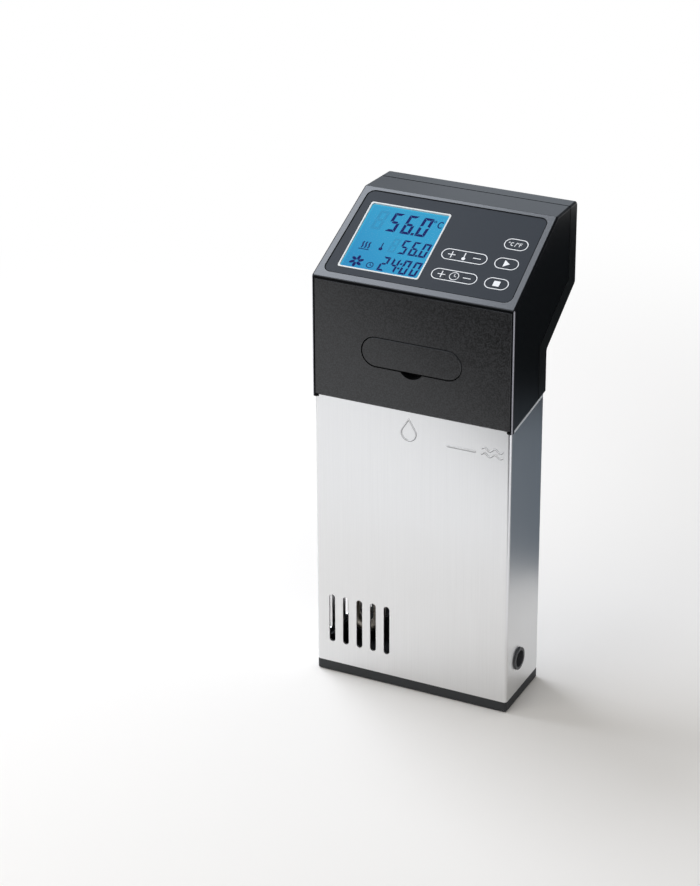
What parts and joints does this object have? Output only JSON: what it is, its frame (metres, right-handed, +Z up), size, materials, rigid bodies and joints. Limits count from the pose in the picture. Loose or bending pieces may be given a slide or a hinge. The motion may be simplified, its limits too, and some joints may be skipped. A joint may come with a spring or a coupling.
{
  "type": "sous vide circulator",
  "caption": "Immersion circulator: wedge-shaped black control head with display and keys over a flat steel sleeve that holds a heater and pump, with a screw clamp for a pot wall.",
  "frame": {"origin": "middle of the flat base that the sleeve stands on", "axes": "+Z up along the sleeve, front face towards -Y, +X to the right of the front face"},
  "size_m": [0.112, 0.1006, 0.2552],
  "materials": {
    "hood_plastic": "satin moulded black",
    "panel_plastic": "spark textured black",
    "overlay_foil": "fine matt printed foil",
    "border_white": "smooth white",
    "display_window": "clear",
    "display_blue": "lit blue",
    "light_guide": "milky",
    "board_green": "solder mask",
    "component_black": "moulded",
    "screw_steel": "zinc plated",
    "core_steel": "laminated",
    "capacitor_sleeve": "shrink sleeve",
    "sink_aluminium": "extruded",
    "terminal_green": "moulded",
    "gland_nylon": "moulded nylon",
    "wet_resin": "glass filled resin",
    "sleeve_steel": "brushed stainless",
    "seal_silicone": "silicone",
    "base_plastic": "textured black",
    "element_steel": "drawn tube",
    "nut_brass": "turned",
    "insulator_white": "turned",
    "motor_steel": "drawn steel",
    "magnet_grey": "sintered",
    "shaft_steel": "ground",
    "bracket_nylon": "glass filled nylon",
    "pad_rubber": "soft rubber",
    "knob_plastic": "textured black"
  },
  "bodies": {
    "housing": {"base_cap": "base_plastic", "board_screws": "screw_steel", "body_pad": "pad_rubber", "bracket_screws": "screw_steel", "bulkhead": "wet_resin", "capacitors": "capacitor_sleeve", "clamp_bracket": "bracket_nylon", "control_board": "board_green", "control_overlay": "overlay_foil", "cord_gland": "gland_nylon", "display_bezel": "border_white", "display_lens": "display_window", "electrode_bushes": "insulator_white", "front_panel": "panel_plastic", "gland_nut": "gland_nylon", "heat_sink": "sink_aluminium", "heater_nuts": "nut_brass", "heating_element": "element_steel", "lcd_backlight": "light_guide", "lcd_panel": "display_blue", "level_electrodes": "element_steel", "main_housing": "hood_plastic", "motor_can": "motor_steel", "motor_end_cap": "motor_steel", "motor_magnets": "magnet_grey", "motor_screws": "screw_steel", "panel_screws": "screw_steel", "power_board": "board_green", "probe_nut": "nut_brass", "pump_bush": "insulator_white", "pump_column": "wet_resin", "pump_housing": "wet_resin", "rear_cover": "hood_plastic", "rear_cover_screws": "screw_steel", "relay": "component_black", "shaft_seal": "seal_silicone", "sleeve": "sleeve_steel", "sleeve_screws": "screw_steel", "sleeve_seal": "seal_silicone", "tact_switches": "component_black", "temperature_probe": "element_steel", "terminal_block": "terminal_green", "transformer": "core_steel", "triac": "component_black"},
    "screw_cover": {"screw_cover": "panel_plastic"},
    "rotor": {"motor_rotor": "core_steel", "motor_shaft": "shaft_steel", "shaft_coupling": "shaft_steel", "pump_shaft": "shaft_steel", "impeller": "wet_resin"},
    "jaw": {"clamp_pad": "pad_rubber"},
    "spindle": {"clamp_screw": "shaft_steel", "clamp_knob": "knob_plastic"},
    "key_unit": {"key_unit": "overlay_foil"},
    "key_start": {"key_start": "overlay_foil"},
    "key_stop": {"key_stop": "overlay_foil"},
    "key_temp_up": {"key_temp_up": "overlay_foil"},
    "key_temp_down": {"key_temp_down": "overlay_foil"},
    "key_time_up": {"key_time_up": "overlay_foil"},
    "key_time_down": {"key_time_down": "overlay_foil"}
  },
  "joints": [
    {"name": "cover_pull", "type": "slide", "parent": "housing", "child": "screw_cover", "axis": [0, -1, 0], "range_m": [0, 0.02]},
    {"name": "rotor_spin", "type": "hinge", "parent": "housing", "child": "rotor", "pos_m": [0.033, 0.0025, 0.1], "axis": [0, 0, 1], "continuous": true},
    {"name": "jaw_slide", "type": "slide", "parent": "housing", "child": "jaw", "axis": [0, 1, 0], "range_m": [-0.0055, 0.017]},
    {"name": "spindle_turn", "type": "hinge", "parent": "jaw", "child": "spindle", "pos_m": [0, 0.05, 0.174], "axis": [0, 1, 0], "range_deg": [-659, 2038]},
    {"name": "unit_press", "type": "slide", "parent": "housing", "child": "key_unit", "axis": [0, 0.4775, -0.8786], "range_m": [0, 0.0004], "stiffness_N_per_m": 3000},
    {"name": "start_press", "type": "slide", "parent": "housing", "child": "key_start", "axis": [0, 0.4775, -0.8786], "range_m": [0, 0.0004], "stiffness_N_per_m": 3000},
    {"name": "stop_press", "type": "slide", "parent": "housing", "child": "key_stop", "axis": [0, 0.4775, -0.8786], "range_m": [0, 0.0004], "stiffness_N_per_m": 3000},
    {"name": "temp_up_press", "type": "slide", "parent": "housing", "child": "key_temp_up", "axis": [0, 0.4775, -0.8786], "range_m": [0, 0.0004], "stiffness_N_per_m": 3000},
    {"name": "temp_down_press", "type": "slide", "parent": "housing", "child": "key_temp_down", "axis": [0, 0.4775, -0.8786], "range_m": [0, 0.0004], "stiffness_N_per_m": 3000},
    {"name": "time_up_press", "type": "slide", "parent": "housing", "child": "key_time_up", "axis": [0, 0.4775, -0.8786], "range_m": [0, 0.0004], "stiffness_N_per_m": 3000},
    {"name": "time_down_press", "type": "slide", "parent": "housing", "child": "key_time_down", "axis": [0, 0.4775, -0.8786], "range_m": [0, 0.0004], "stiffness_N_per_m": 3000}
  ],
  "couplings": [
    {"joint": "jaw_slide", "follows": "spindle_turn", "m_per_rad": 0.00047746}
  ]
}
